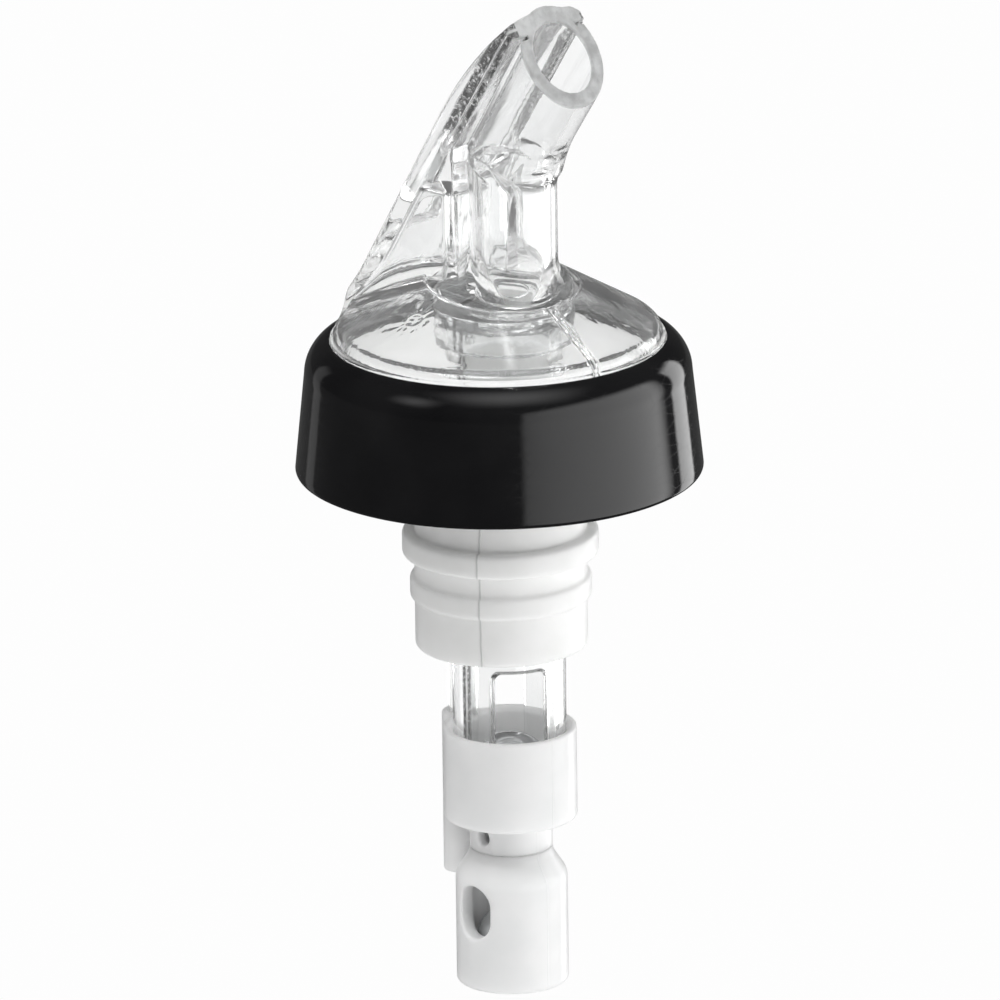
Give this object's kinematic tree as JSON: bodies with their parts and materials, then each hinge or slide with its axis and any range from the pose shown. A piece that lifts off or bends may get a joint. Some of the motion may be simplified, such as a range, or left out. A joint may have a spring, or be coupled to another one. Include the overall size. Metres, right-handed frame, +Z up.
{
  "type": "liquor pour spout",
  "caption": "Measured bottle pourer: clear nozzle and hood over a black collar, ribbed cork, clear housing and white ball cage.",
  "frame": {"origin": "on the cork's axis, in the plane where the bottle's lip meets the underside of the cork's flange", "axes": "+Z up along the cork's axis towards the nozzle, +X towards the pouring side, the breather on -X"},
  "size_m": [0.0441, 0.044, 0.1112],
  "materials": {
    "black_plastic": "polished black moulding",
    "clear_plastic": "clear polished moulding, frosted where the nozzle is cut",
    "cork_plastic": "translucent natural polyethylene, satin, with a mould seam",
    "white_plastic": "white satin moulding",
    "ball_steel": "polished stainless steel"
  },
  "bodies": {
    "pourer": {"collar": "black_plastic", "spout_body": "clear_plastic", "cork": "cork_plastic", "tail_housing": "clear_plastic", "breather_tube": "clear_plastic", "control_cup": "white_plastic", "ball_cage": "white_plastic"},
    "timing_ball": {"timing_ball": "ball_steel"},
    "check_ball": {"check_ball": "ball_steel"},
    "breather_ball": {"breather_ball": "ball_steel"}
  },
  "joints": [
    {"name": "timing_ball_run", "type": "slide", "parent": "pourer", "child": "timing_ball", "axis": [0, 0, 1], "range_m": [0, 0.0475]},
    {"name": "check_ball_run", "type": "slide", "parent": "pourer", "child": "check_ball", "axis": [0, 0, 1], "range_m": [0, 0.00536]},
    {"name": "breather_ball_run", "type": "slide", "parent": "pourer", "child": "breather_ball", "axis": [0, 0, 1], "range_m": [0, 0.007]}
  ]
}
